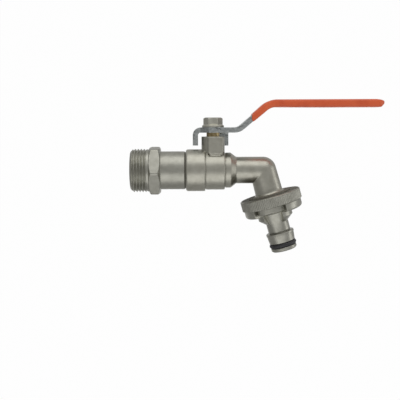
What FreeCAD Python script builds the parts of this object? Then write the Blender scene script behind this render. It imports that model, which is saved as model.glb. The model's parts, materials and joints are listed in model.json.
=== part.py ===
# Water butt tap: a lever ball valve with a tilted spout and a hose adaptor screwed on its outlet.
# X runs along the inlet in the direction of flow, Z is up, and the origin is on the inlet axis
# where the inlet thread meets the hexagon. All lengths are in millimetres and angles in degrees.
import FreeCAD, Part
import math
import os
from types import SimpleNamespace

import Sketcher

SIZES = {
    # Screwed and sliding fits, as gaps on the radius or on one face
    "thread_clearance": 0.05,
    "stem_clearance": 0.05,
    "seat_clearance": 0.05,
    "slot_clearance": 0.05,
    "grip_clearance": 0.05,
    "stop_clearance": 0.25,
    "ball_gap": 0.15,
    "chamber_gap": 0.3,
    # Inlet end, with a 3/4 inch pipe thread
    "inlet_thread_radius": 13.22,
    "inlet_thread_length": 11.4,
    "inlet_thread_chamfer": 1.0,
    "inlet_thread_lead": 1.9,
    "inlet_thread_pitch": 1.814,
    "inlet_thread_depth": 0.95,
    "inlet_thread_crest": 0.4,
    "inlet_thread_flank": 0.5,
    "inlet_bore_radius": 8.5,
    "inlet_bore_depth": 30.0,
    "throat_radius": 6.0,
    "hex_across_flats": 27.5,
    "hex_length": 6.95,
    "hex_bevel": 0.3,
    "hex_turn": 5.0,
    "neck_radius": 11.65,
    "neck_length": 14.85,
    "spigot_radius": 10.4,
    # Ring in the joint between the inlet end and the body
    "seal_thickness": 0.55,
    "seal_radius": 11.2,
    # Body from the joint to the elbow
    "shoulder_radius": 12.85,
    "shoulder_length": 11.95,
    "shoulder_round": 1.5,
    "barrel_radius": 11.95,
    "barrel_length": 11.9,
    "barrel_end_radius": 10.8,
    "barrel_end_length": 3.6,
    "taper_length": 3.4,
    "taper_round": 1.2,
    "step_groove_width": 0.9,
    "step_groove_depth": 0.35,
    "step_bevel": 0.35,
    "tube_radius": 8.15,
    "tube_length": 16.55,
    "passage_radius": 5.75,
    # Outlet limb below the elbow
    "spout_tilt": 15.4,
    "limb_radius": 8.5,
    "limb_length": 15.1,
    "limb_fillet": 1.8,
    "outlet_thread_radius": 13.22,
    "outlet_thread_length": 7.5,
    # Boss for the stem, with a flat pad at the front and a stop lug at the back
    "stem_offset": 16.8,
    "boss_radius": 7.1,
    "boss_height": 20.6,
    "pad_width": 8.8,
    "pad_offset": 1.3,
    "pad_depth": 8.6,
    "pad_bottom": 10.0,
    "pad_corner": 1.8,
    "lug_width": 1.8,
    "lug_reach": 12.0,
    "lug_height": 6.0,
    # Ball and its seats
    "ball_radius": 9.5,
    "ball_bore_radius": 5.5,
    "ball_slot_depth": 2.5,
    "seat_radius": 8.8,
    "seat_front": 4.6,
    "seat_back": 9.4,
    "pocket_margin": 0.3,
    # Stem
    "stem_radius": 4.0,
    "tang_thickness": 5.0,
    "tang_width": 7.0,
    "tang_length": 2.4,
    "stem_collar_radius": 5.5,
    "stem_collar_gap": 0.1,
    "stem_collar_height": 1.8,
    "thrust_thickness": 1.2,
    "stem_ring_cord": 1.1,
    "stem_ring_floor": 2.85,
    "stem_groove_width": 1.5,
    "stem_groove_rise": 2.0,
    "stem_groove_spacing": 3.0,
    "stem_rise": 2.4,
    "stem_flats": 6.2,
    "stud_radius": 3.0,
    "stud_height": 5.3,
    # Lever
    "lever_thickness": 3.2,
    "lever_width": 14.0,
    "lever_end": 12.4,
    "lever_bend": 1.6,
    "end_tab_width": 4.0,
    "end_tab_drop": 7.8,
    "back_tab_width": 5.4,
    "back_tab_reach": 11.1,
    "back_tab_drop": 8.1,
    "back_tab_bend": 0.8,
    "rise_start": 15.6,
    "rise_angle": 40.2,
    "rise_height": 15.9,
    "rise_bend": 5.5,
    "level_bend": 9.6,
    "lever_reach": 101.8,
    "lever_tip_round": 5.0,
    # Grip sleeve on the lever
    "grip_wall": 0.7,
    "grip_start": 11.2,
    "grip_round": 1.1,
    "grip_end_wall": 2.9,
    "grip_end_slant": 2.3,
    # Flange nut on the stem
    "nut_across_flats": 10.2,
    "nut_height": 6.0,
    "nut_bevel": 0.3,
    "nut_flange_radius": 6.7,
    "nut_flange_height": 2.2,
    # Hose adaptor, from its ring to its tip
    "adaptor_gap": 0.6,
    "knurl_radius": 18.75,
    "knurl_height": 6.5,
    "knurl_bevel": 0.4,
    "lug_ring_radius": 17.85,
    "lug_ring_height": 4.8,
    "lug_ring_round": 1.8,
    "lug_angle": 120.0,
    "lug_turn": 9.0,
    "core_radius": 15.6,
    "core_height": 3.4,
    "small_lug_radius": 10.7,
    "small_lug_height": 3.2,
    "nipple_root_radius": 8.9,
    "nipple_neck_radius": 6.9,
    "nipple_flare_length": 6.4,
    "nipple_neck_length": 6.2,
    "nipple_collar_radius": 8.65,
    "nipple_collar_height": 1.5,
    "nipple_barrel_radius": 7.95,
    "nipple_barrel_length": 4.8,
    "nipple_ring_cord": 2.7,
    "nipple_ring_floor": 5.75,
    "nipple_groove_width": 2.9,
    "nipple_tip_length": 2.3,
    "nipple_tip_bevel": 0.7,
    "nipple_bore_radius": 4.5,
    "adaptor_washer_thickness": 2.2,
}

HEX_HALF_STEP = 30.0
BEVEL_ANGLE = 30.0
THREAD_RIDGES = 4
TOUCH = 1e-3


class Formula:
    """A sheet formula with its present value, so sizes can be added up and still stay bound."""

    def __init__(self, text, value):
        self.text = text
        self.value = value

    def __add__(self, other):
        other = formula(other)
        return Formula(f"({self.text} + {other.text})", self.value + other.value)

    def __sub__(self, other):
        other = formula(other)
        return Formula(f"({self.text} - {other.text})", self.value - other.value)

    def __mul__(self, other):
        other = formula(other)
        return Formula(f"({self.text} * {other.text})", self.value * other.value)

    def __truediv__(self, other):
        other = formula(other)
        return Formula(f"({self.text} / {other.text})", self.value / other.value)

    def __neg__(self):
        return Formula(f"(0 - {self.text})", -self.value)


def formula(number):
    """Plain numbers become formulas, and formulas stay as they are."""
    if isinstance(number, Formula):
        return number
    return Formula(repr(float(number)), float(number))


def sine(angle):
    angle = formula(angle)
    return Formula(f"sin({angle.text})", math.sin(math.radians(angle.value)))


def cosine(angle):
    angle = formula(angle)
    return Formula(f"cos({angle.text})", math.cos(math.radians(angle.value)))


def tangent(angle):
    angle = formula(angle)
    return Formula(f"tan({angle.text})", math.tan(math.radians(angle.value)))


def make_sheet(document):
    """Each size gets a row of the sheet, with its name beside its number."""
    table = document.addObject("Spreadsheet::Sheet", "Sizes")
    for row, (name, number) in enumerate(SIZES.items(), 1):
        table.set(f"A{row}", name)
        table.set(f"B{row}", repr(number))
        table.setAlias(f"B{row}", name)
    document.recompute()


doc = FreeCAD.newDocument("water_butt_tap")
make_sheet(doc)
size = SimpleNamespace(**{name: Formula(f"Sizes.{name}", number) for name, number in SIZES.items()})

# Places along the inlet axis
neck_end = size.hex_length + size.neck_length
body_start = neck_end + size.seal_thickness
stem_place = body_start + size.stem_offset
shoulder_end = body_start + size.shoulder_length
barrel_end = shoulder_end + size.barrel_length
taper_start = barrel_end + size.barrel_end_length
taper_end = taper_start + size.taper_length
elbow_place = taper_end + size.tube_length

# Places along the outlet axis, measured from the elbow
outlet_end = size.limb_length + size.outlet_thread_length
adaptor_top = size.limb_length + size.adaptor_gap
knurl_end = adaptor_top + size.knurl_height
lug_end = knurl_end + size.lug_ring_height
socket_end = outlet_end + size.adaptor_washer_thickness
nipple_neck = lug_end + size.nipple_flare_length
nipple_collar = nipple_neck + size.nipple_neck_length
nipple_groove = nipple_collar + size.nipple_collar_height + size.nipple_barrel_length
nipple_tip = nipple_groove + size.nipple_groove_width
nipple_end = nipple_tip + size.nipple_tip_length

# Heights on the stem axis
collar_bottom = size.ball_radius + size.stem_collar_gap
collar_top = collar_bottom + size.stem_collar_height
washer_top = collar_top + size.thrust_thickness
lever_bottom = size.boss_height + size.stem_rise
lever_middle = lever_bottom + size.lever_thickness / 2
lever_top = lever_bottom + size.lever_thickness

# Fits that more than one piece shares
seat_pocket_radius = size.seat_radius + size.seat_clearance
collar_hole_radius = size.stem_collar_radius + size.chamber_gap
spigot_end = stem_place - collar_hole_radius
stem_bore_radius = size.stem_radius + size.stem_clearance
lug_left = size.end_tab_width / 2 + size.stop_clearance
lug_right = lug_left + size.lug_width


def bind(thing, path, amount):
    thing.setExpression(path, formula(amount).text)


def new_body(label, along=None, tilt=None):
    """A body with its own label, set along the inlet axis and tilted with the spout if asked."""
    body = doc.addObject("PartDesign::Body", label)
    body.Label = label
    if tilt is not None:
        body.Placement.Rotation = FreeCAD.Rotation(FreeCAD.Vector(0, -1, 0), tilt.value)
        bind(body, "Placement.Rotation.Angle", tilt)
    if along is not None:
        bind(body, "Placement.Base.x", along)
    return body


def new_sketch(body, name, plane, **moves):
    """A sketch on one of the body's own planes, moved or turned in it, or swung about its upright axis."""
    sketch = body.newObject("Sketcher::SketchObject", name)
    support = next(item for item in body.Origin.OriginFeatures if item.Role == plane)
    sketch.AttachmentSupport = [(support, "")]
    sketch.MapMode = "FlatFace"
    paths = {"right": "Base.x", "up": "Base.y", "out": "Base.z"}
    if "swing" in moves:
        swing = FreeCAD.Rotation(FreeCAD.Vector(0, -1, 0), moves["swing"].value)
        sketch.AttachmentOffset = FreeCAD.Placement(FreeCAD.Vector(), swing)
    for move, amount in moves.items():
        bind(sketch, "AttachmentOffset." + paths.get(move, "Rotation.Angle"), amount)
    return sketch


def pin_point(sketch, edge, point, place):
    """Holds one point of the sketch at a place given by two formulas."""
    for kind, amount in zip(("DistanceX", "DistanceY"), place):
        number = formula(amount)
        index = sketch.addConstraint(Sketcher.Constraint(kind, -1, 1, edge, point, number.value))
        bind(sketch, f"Constraints[{index}]", number)


def draw_loop(sketch, corners):
    """Adds a closed outline of straight edges."""
    first = len(sketch.Geometry)
    count = len(corners)
    places = [FreeCAD.Vector(formula(right).value, formula(up).value, 0) for right, up in corners]
    for index in range(count):
        sketch.addGeometry(Part.LineSegment(places[index], places[(index + 1) % count]), False)
    for index in range(count):
        following = first + (index + 1) % count
        sketch.addConstraint(Sketcher.Constraint("Coincident", first + index, 2, following, 1))
    for index, corner in enumerate(corners):
        pin_point(sketch, first + index, 1, corner)


def draw_circle(sketch, radius):
    """Adds a circle about the sketch's origin."""
    circle = Part.Circle(FreeCAD.Vector(), FreeCAD.Vector(0, 0, 1), radius.value)
    edge = sketch.addGeometry(circle, False)
    sketch.addConstraint(Sketcher.Constraint("Coincident", edge, 3, -1, 1))
    index = sketch.addConstraint(Sketcher.Constraint("Radius", edge, radius.value))
    bind(sketch, f"Constraints[{index}]", radius)


def hexagon(across_flats):
    """Corners of a hexagon with one corner on the first axis."""
    radius = across_flats / 2 / cosine(HEX_HALF_STEP)
    return [(radius * cosine(60 * step), radius * sine(60 * step)) for step in range(6)]


def turn(body, name, corners, axis, cut=False, angle=360, **moves):
    """Turns an outline in the XZ plane about one of its axes, to add or to remove material."""
    sketch = new_sketch(body, name + "_outline", "XZ_Plane", **moves)
    draw_loop(sketch, corners)
    feature = body.newObject("PartDesign::Groove" if cut else "PartDesign::Revolution", name)
    feature.Profile = sketch
    feature.ReferenceAxis = (sketch, [axis])
    feature.Midplane = True
    bind(feature, "Angle", angle)
    return feature


def extrude(body, name, sketch, length, side="One side", reverse=False, cut=False):
    """Pads a sketch, or cuts it out, by a length."""
    feature = body.newObject("PartDesign::Pocket" if cut else "PartDesign::Pad", name)
    feature.Profile = sketch
    feature.SideType = side
    feature.Reversed = reverse
    bind(feature, "Length", length)
    return feature


def sphere(body, name, radius, along=0, cut=False):
    feature = body.newObject("PartDesign::SubtractiveSphere" if cut else "PartDesign::AdditiveSphere", name)
    bind(feature, "Radius", radius)
    bind(feature, "Placement.Base.x", along)
    return feature


def box(body, name, corner, lengths, cut=False):
    """A box from its lowest corner and its three lengths."""
    feature = body.newObject("PartDesign::SubtractiveBox" if cut else "PartDesign::AdditiveBox", name)
    for letter, amount in zip("xyz", corner):
        bind(feature, f"Placement.Base.{letter}", amount)
    for side, amount in zip(("Length", "Width", "Height"), lengths):
        bind(feature, side, amount)
    return feature


def round_edges(body, name, radius, wanted):
    """Fillets the edges of the body that the test picks."""
    doc.recompute()
    base = body.Tip
    names = [f"Edge{index}" for index, edge in enumerate(base.Shape.Edges, 1) if wanted(edge)]
    fillet = body.newObject("PartDesign::Fillet", name)
    fillet.Base = (base, names)
    bind(fillet, "Radius", radius)
    return fillet


def at(edge, **places):
    """True where the whole edge lies at the given coordinates."""
    limits = edge.BoundBox
    for letter, place in places.items():
        low = getattr(limits, letter.upper() + "Min")
        high = getattr(limits, letter.upper() + "Max")
        if max(abs(low - formula(place).value), abs(high - formula(place).value)) > TOUCH:
            return False
    return True


def is_circle(edge, radius):
    """True for a round edge of the given radius, and never for the point at a sphere's pole."""
    if edge.Degenerated or not isinstance(edge.Curve, Part.Circle):
        return False
    return abs(edge.Curve.Radius - radius.value) < TOUCH


def ring(label, inner, outer, start, thickness, axis, along=None, tilt=None):
    """A flat ring turned about one axis of its body."""
    body = new_body(label, along, tilt)
    end = start + thickness
    corners = [(inner, start), (outer, start), (outer, end), (inner, end)]
    if axis == "H_Axis":
        corners = [(place, radius) for radius, place in corners]
    turn(body, label + "_ring", corners, axis)
    return body


def o_ring(label, floor, cord, centre, along, tilt=None):
    """A round cord about the local Z axis of its place, lying on the floor of its groove."""
    body = new_body(label, along, tilt)
    torus = body.newObject("PartDesign::AdditiveTorus", label + "_cord")
    bind(torus, "Radius1", floor + cord / 2)
    bind(torus, "Radius2", cord / 2)
    bind(torus, "Placement.Base.z", centre)
    return body


def bevel_hexagon(body, name, across_flats, bevel, face, inward, axis):
    """Cuts the corners of a hexagon back to a cone that starts just inside its flats."""
    low = across_flats / 2 - bevel
    high = across_flats / 2 / cosine(HEX_HALF_STEP) + bevel
    depth = (high - low) * tangent(BEVEL_ANGLE) * inward
    corners = [(face, low), (face, high), (face + depth, high)]
    if axis == "V_Axis":
        corners = [(radius, place) for place, radius in corners]
    return turn(body, name, corners, axis, cut=True)


def thread_ridges(start, root):
    """Outline of the ridges that stand for the turns of the inlet thread."""
    corners = []
    for ridge in range(THREAD_RIDGES):
        foot = start + size.inlet_thread_pitch * ridge
        crest = foot + size.inlet_thread_flank
        crest_end = crest + size.inlet_thread_crest
        corners += [
            (foot, root),
            (crest, size.inlet_thread_radius),
            (crest_end, size.inlet_thread_radius),
            (crest_end + size.inlet_thread_flank, root),
        ]
    return corners


def make_inlet_end():
    """Turned end piece: thread, hexagon, neck and the spigot that holds the inlet seat."""
    body = new_body("inlet_end")
    mouth = -size.inlet_thread_length
    bore_end = mouth + size.inlet_bore_depth
    throat_start = bore_end + (size.inlet_bore_radius - size.throat_radius)
    seat_floor = stem_place - size.seat_back
    root = size.inlet_thread_radius - size.inlet_thread_depth
    thread_start = mouth + size.inlet_thread_lead
    thread_end = thread_start + size.inlet_thread_pitch * THREAD_RIDGES
    turn(body, "inlet_turning", [
        (mouth, size.inlet_bore_radius),
        (mouth, root - size.inlet_thread_chamfer),
        (mouth + size.inlet_thread_chamfer, root),
        *thread_ridges(thread_start, root),
        (thread_end, root),
        (thread_end, size.inlet_thread_radius),
        (0, size.inlet_thread_radius),
        (0, size.neck_radius),
        (neck_end, size.neck_radius),
        (neck_end, size.spigot_radius),
        (spigot_end, size.spigot_radius),
        (spigot_end, seat_pocket_radius),
        (seat_floor, seat_pocket_radius),
        (seat_floor, size.throat_radius),
        (throat_start, size.throat_radius),
        (bore_end, size.inlet_bore_radius),
    ], "H_Axis")
    sketch = new_sketch(body, "hexagon_outline", "YZ_Plane", turn=size.hex_turn)
    draw_loop(sketch, hexagon(size.hex_across_flats))
    draw_circle(sketch, size.neck_radius - size.hex_bevel)
    extrude(body, "hexagon", sketch, size.hex_length)
    for name, face, inward in (("left_bevel", formula(0), 1), ("right_bevel", size.hex_length, -1)):
        bevel_hexagon(body, name, size.hex_across_flats, size.hex_bevel, face, inward, "H_Axis")
    return body


def make_body_seal():
    inner = size.spigot_radius + size.seat_clearance
    return ring("body_seal", inner, size.seal_radius, neck_end, size.seal_thickness, "H_Axis")


def add_front_pad(body):
    """Flat pad at the front of the boss, with round lower corners."""
    half = size.pad_width / 2
    pad = new_sketch(body, "pad_outline", "XZ_Plane", right=stem_place + size.pad_offset)
    draw_loop(pad, [
        (-half, size.pad_bottom),
        (half, size.pad_bottom),
        (half, size.boss_height),
        (-half, size.boss_height),
    ])
    extrude(body, "pad", pad, size.pad_depth)
    round_edges(body, "pad_corners", size.pad_corner, lambda edge: (
        at(edge, z=size.pad_bottom) and edge.BoundBox.XLength < TOUCH))


def add_boss(body):
    """Stem boss with the stop lug at its back."""
    boss = new_sketch(body, "boss_outline", "XY_Plane", right=stem_place)
    draw_circle(boss, size.boss_radius)
    extrude(body, "boss", boss, size.boss_height)
    box(body, "stop_lug",
        (stem_place + lug_left, 0, size.boss_height - size.lug_height),
        (size.lug_width, size.lug_reach, size.lug_height))


def make_spout_body():
    """Cast body: barrel, boss, tube, elbow and outlet limb, bored for the ball and the stem."""
    body = new_body("spout_body")
    add_front_pad(body)
    turn(body, "barrel", [
        (body_start, 0),
        (body_start, size.shoulder_radius),
        (shoulder_end - size.step_bevel, size.shoulder_radius),
        (shoulder_end, size.shoulder_radius - size.step_bevel),
        (shoulder_end, size.barrel_radius - size.step_groove_depth),
        (shoulder_end + size.step_groove_width, size.barrel_radius),
        (barrel_end - size.step_bevel, size.barrel_radius),
        (barrel_end, size.barrel_radius - size.step_bevel),
        (barrel_end, size.barrel_end_radius - size.step_groove_depth),
        (barrel_end + size.step_groove_width, size.barrel_end_radius),
        (taper_start, size.barrel_end_radius),
        (taper_end, size.tube_radius),
        (elbow_place, size.tube_radius),
        (elbow_place, 0),
    ], "H_Axis")
    round_edges(body, "shoulder_rounding", size.shoulder_round, lambda edge: (
        at(edge, x=body_start) and edge.BoundBox.ZMax > size.shoulder_radius.value - TOUCH))
    round_edges(body, "taper_rounding", size.taper_round, lambda edge: (
        at(edge, x=taper_start) or at(edge, x=taper_end)))
    add_boss(body)
    sphere(body, "elbow", size.tube_radius, elbow_place)
    turn(body, "limb", [
        (0, 0),
        (size.tube_radius, 0),
        (size.limb_radius, -size.limb_length),
        (size.outlet_thread_radius, -size.limb_length),
        (size.outlet_thread_radius, -outlet_end),
        (0, -outlet_end),
    ], "V_Axis", right=elbow_place, turn=size.spout_tilt)
    round_edges(body, "limb_foot", size.limb_fillet, lambda edge: is_circle(edge, size.limb_radius))
    bore_body(body)
    return body


def bore_body(body):
    """Cuts the chamber, the seat pocket, the bent passage and the stepped hole for the stem."""
    chamber_end = stem_place + size.seat_front - size.pocket_margin
    chamber_radius = size.ball_radius + size.chamber_gap
    thread_radius = size.spigot_radius + size.thread_clearance
    seat_floor = stem_place + size.seat_back
    turn(body, "chamber", [
        (body_start, 0),
        (body_start, thread_radius),
        (spigot_end + size.pocket_margin, thread_radius),
        (spigot_end + size.pocket_margin, chamber_radius),
        (chamber_end, chamber_radius),
        (chamber_end, seat_pocket_radius),
        (seat_floor, seat_pocket_radius),
        (seat_floor, size.passage_radius),
        (elbow_place, size.passage_radius),
        (elbow_place, 0),
    ], "H_Axis", cut=True)
    sphere(body, "passage_elbow", size.passage_radius, elbow_place, cut=True)
    turn(body, "outlet_passage", [
        (0, 0),
        (size.passage_radius, 0),
        (size.passage_radius, -outlet_end),
        (0, -outlet_end),
    ], "V_Axis", cut=True, right=elbow_place, turn=size.spout_tilt)
    turn(body, "stem_hole", [
        (0, 0),
        (collar_hole_radius, 0),
        (collar_hole_radius, washer_top),
        (stem_bore_radius, washer_top),
        (stem_bore_radius, size.boss_height),
        (0, size.boss_height),
    ], "V_Axis", cut=True, right=stem_place)


def make_ball():
    """Drilled ball with a drive slot across its top, at right angles to the bore."""
    body = new_body("ball", stem_place)
    sphere(body, "ball_sphere", size.ball_radius)
    sketch = new_sketch(body, "ball_bore_outline", "YZ_Plane")
    draw_circle(sketch, size.ball_bore_radius)
    extrude(body, "ball_bore", sketch, size.ball_radius * 2, side="Symmetric", cut=True)
    slot_width = size.tang_thickness + size.slot_clearance * 2
    box(body, "drive_slot",
        (-slot_width / 2, -size.ball_radius, size.ball_radius - size.ball_slot_depth),
        (slot_width, size.ball_radius * 2, size.ball_slot_depth), cut=True)
    return body


def make_seat(label, half_turn):
    """Seat ring with a round face that follows the ball."""
    body = new_body(label)
    body.Placement.Rotation = FreeCAD.Rotation(FreeCAD.Vector(0, 0, 1), half_turn)
    bind(body, "Placement.Base.x", stem_place)
    turn(body, label + "_ring", [
        (size.seat_front, size.passage_radius),
        (size.seat_front, size.seat_radius),
        (size.seat_back, size.seat_radius),
        (size.seat_back, size.passage_radius),
    ], "H_Axis")
    sphere(body, label + "_face", size.ball_radius + size.ball_gap, cut=True)
    return body


def groove_bottom(step):
    """Height of the lower edge of one of the stem's grooves."""
    return washer_top + size.stem_groove_rise + size.stem_groove_spacing * step


def make_stem():
    """Turned stem: drive tang, collar, two ring grooves, flats for the lever and a stud for the nut."""
    body = new_body("stem", stem_place)
    flats_top = lever_top - size.slot_clearance * 2
    corners = [
        (0, collar_bottom),
        (size.stem_collar_radius, collar_bottom),
        (size.stem_collar_radius, collar_top),
        (size.stem_radius, collar_top),
    ]
    for step in range(2):
        low = groove_bottom(step)
        high = low + size.stem_groove_width
        corners += [
            (size.stem_radius, low),
            (size.stem_ring_floor, low),
            (size.stem_ring_floor, high),
            (size.stem_radius, high),
        ]
    corners += [
        (size.stem_radius, flats_top),
        (size.stud_radius, flats_top),
        (size.stud_radius, lever_top + size.stud_height),
        (0, lever_top + size.stud_height),
    ]
    turn(body, "stem_turning", corners, "V_Axis")
    box(body, "drive_tang",
        (-size.tang_thickness / 2, -size.tang_width / 2, collar_bottom - size.tang_length),
        (size.tang_thickness, size.tang_width, size.tang_length))
    for name, side in (("front_flat", -1), ("back_flat", 1)):
        near = size.stem_flats / 2 * side
        low = near if side > 0 else near - size.stem_radius
        box(body, name,
            (-size.stem_radius, low, lever_bottom),
            (size.stem_radius * 2, size.stem_radius, flats_top - lever_bottom), cut=True)
    return body


def make_stem_rings():
    thrust_gap = size.slot_clearance
    ring("thrust_washer", stem_bore_radius, size.stem_collar_radius, collar_top,
         size.thrust_thickness - thrust_gap, "V_Axis", stem_place)
    for label, step in (("lower_stem_o_ring", 0), ("upper_stem_o_ring", 1)):
        centre = groove_bottom(step) + size.stem_groove_width / 2
        o_ring(label, size.stem_ring_floor, size.stem_ring_cord, centre, stem_place)


def strip_upper(half):
    """Bend corners of the lever's strip on its upper side, at half its thickness."""
    shift = half * tangent(size.rise_angle / 2)
    rise_end = size.rise_start + size.rise_height / tangent(size.rise_angle)
    return [
        (size.rise_start - shift, lever_middle + half),
        (rise_end - shift, lever_middle + size.rise_height + half),
    ]


def strip_lower(half):
    """The same bend corners on the strip's lower side."""
    return strip_upper(-half)


def bend(body, name, corners, half, inner_radius):
    """Bends a corner of the strip: both of its sides share one centre."""
    inside, outside = corners
    for label, (right, height), radius in (
        ("inside", inside, inner_radius),
        ("outside", outside, inner_radius + half * 2),
    ):
        round_edges(body, f"{name}_{label}", radius, lambda edge: at(edge, x=right, z=height))


def make_lever():
    """Bent steel strip with a tab at its end and one at its back, which meet the stop lug."""
    body = new_body("lever", stem_place)
    half = size.lever_thickness / 2
    level = lever_middle + size.rise_height
    tab_bottom = lever_bottom - size.end_tab_drop
    upper = strip_upper(half)
    lower = strip_lower(half)
    end_outside = (-size.lever_end, lever_top)
    end_inside = (-size.lever_end + size.lever_thickness, lever_bottom)
    side = new_sketch(body, "lever_side", "XZ_Plane")
    draw_loop(side, [
        (-size.lever_end, tab_bottom),
        end_outside,
        upper[0],
        upper[1],
        (size.lever_reach, level + half),
        (size.lever_reach, level - half),
        lower[1],
        lower[0],
        end_inside,
        (-size.lever_end + size.lever_thickness, tab_bottom),
    ])
    extrude(body, "lever_strip", side, size.lever_width, side="Symmetric")
    bend(body, "end_bend", (end_inside, end_outside), half, size.lever_bend)
    bend(body, "rise_bend", (upper[0], lower[0]), half, size.rise_bend)
    bend(body, "level_bend", (lower[1], upper[1]), half, size.level_bend)
    narrow_end(body)
    add_back_tab(body)
    hole_width = size.stem_flats + size.slot_clearance * 2
    hole_length = (size.stem_radius + size.slot_clearance) * 2
    box(body, "stem_slot",
        (-hole_length / 2, -hole_width / 2, lever_bottom),
        (hole_length, hole_width, size.lever_thickness), cut=True)
    round_edges(body, "lever_tip", size.lever_tip_round, lambda edge: (
        at(edge, x=size.lever_reach) and edge.BoundBox.YLength < TOUCH))
    return body


def narrow_end(body):
    """Cuts the strip's end back to the width of its tab, with slanted shoulders."""
    tab = size.end_tab_width / 2
    edge = size.lever_width / 2
    shoulder = size.lever_end - size.lever_thickness - size.lever_bend
    slant = shoulder - (edge - tab)
    plan = new_sketch(body, "end_plan", "XY_Plane", out=lever_top)
    for side in (-1, 1):
        draw_loop(plan, [
            (-slant, edge * side),
            (-shoulder, tab * side),
            (-size.lever_end, tab * side),
            (-size.lever_end, edge * side),
        ])
    extrude(body, "end_shoulders", plan, size.lever_thickness + size.end_tab_drop, cut=True)


def add_back_tab(body):
    """Adds the tab that is bent down from the strip's back edge."""
    near = size.back_tab_reach - size.lever_thickness
    bottom = lever_bottom - size.back_tab_drop
    tab_left = lug_right + size.stop_clearance
    section = new_sketch(body, "back_tab_section", "YZ_Plane", out=tab_left)
    draw_loop(section, [
        (0, lever_bottom),
        (near, lever_bottom),
        (near, bottom),
        (size.back_tab_reach, bottom),
        (size.back_tab_reach, lever_top),
        (0, lever_top),
    ])
    extrude(body, "back_tab", section, size.back_tab_width)
    round_edges(body, "back_tab_inside", size.back_tab_bend, lambda edge: at(edge, y=near, z=lever_bottom))
    round_edges(body, "back_tab_outside", size.back_tab_bend + size.lever_thickness, lambda edge: (
        at(edge, y=size.back_tab_reach, z=lever_top)))


def draw_sleeve(body, name, half, start, reach, slant=0):
    """Side outline of the grip, from a square cut on the rise to a tip whose lower edge may stand back."""
    level = lever_middle + size.rise_height
    middle = size.rise_start + start * cosine(size.rise_angle)
    height = lever_middle + start * sine(size.rise_angle)
    across = half * sine(size.rise_angle)
    along = half * cosine(size.rise_angle)
    sketch = new_sketch(body, name, "XZ_Plane")
    draw_loop(sketch, [
        (middle - across, height + along),
        strip_upper(half)[1],
        (reach, level + half),
        (reach - slant, level - half),
        strip_lower(half)[1],
        (middle + across, height - along),
    ])
    return sketch


def make_grip():
    """Dipped sleeve over the lever's handle, open where the lever goes in."""
    body = new_body("lever_grip", stem_place)
    half = size.lever_thickness / 2 + size.grip_wall
    width = size.lever_width + size.grip_wall * 2
    reach = size.lever_reach + size.grip_end_wall
    tip_start = reach - size.grip_end_slant
    outer = draw_sleeve(body, "grip_side", half, size.grip_start, reach, size.grip_end_slant)
    extrude(body, "grip_outside", outer, width, side="Symmetric")
    inside_radius = size.level_bend - size.grip_wall
    bend(body, "grip_bend", (strip_lower(half)[1], strip_upper(half)[1]), half, inside_radius)
    round_edges(body, "grip_tip", size.lever_tip_round + size.grip_wall, lambda edge: (
        edge.BoundBox.XMin > tip_start.value - TOUCH and edge.BoundBox.YLength < TOUCH))
    round_edges(body, "grip_edges", size.grip_round, lambda edge: (
        at(edge, y=width / 2) or at(edge, y=-width / 2) or at(edge, x=reach) or at(edge, x=tip_start)))
    hollow_grip(body)
    return body


def hollow_grip(body):
    """Cuts the space that the lever fills."""
    half = size.lever_thickness / 2 + size.grip_clearance
    reach = size.lever_reach + size.grip_clearance
    width = size.lever_width + size.grip_clearance * 2
    cutter = doc.addObject("PartDesign::Body", "grip_hollow")
    start = size.grip_start - size.grip_wall
    inner = draw_sleeve(cutter, "hollow_side", half, start, reach)
    extrude(cutter, "hollow_strip", inner, width, side="Symmetric")
    inside_radius = size.level_bend - size.grip_clearance
    bend(cutter, "hollow_bend", (strip_lower(half)[1], strip_upper(half)[1]), half, inside_radius)
    round_edges(cutter, "hollow_tip", size.lever_tip_round + size.grip_clearance, lambda edge: (
        at(edge, x=reach) and edge.BoundBox.YLength < TOUCH))
    hollow = body.newObject("PartDesign::Boolean", "grip_space")
    hollow.Type = "Cut"
    hollow.addObject(cutter)


def make_nut():
    """Hexagon flange nut that clamps the lever on the stem."""
    body = new_body("lever_nut", stem_place)
    bore = size.stud_radius + size.thread_clearance
    flange_top = lever_top + size.nut_flange_height
    root = size.nut_across_flats / 2
    turn(body, "flange", [
        (bore, lever_top),
        (size.nut_flange_radius, lever_top),
        (size.nut_flange_radius, lever_top + size.nut_flange_height / 2),
        (root, flange_top),
        (bore, flange_top),
    ], "V_Axis")
    sketch = new_sketch(body, "nut_outline", "XY_Plane", out=lever_top + size.nut_flange_height / 2)
    draw_loop(sketch, hexagon(size.nut_across_flats))
    draw_circle(sketch, bore)
    extrude(body, "nut_hexagon", sketch, size.nut_height - size.nut_flange_height / 2)
    nut_top = lever_top + size.nut_height
    bevel_hexagon(body, "nut_bevel", size.nut_across_flats, size.nut_bevel, nut_top, -1, "V_Axis")
    return body


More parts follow.
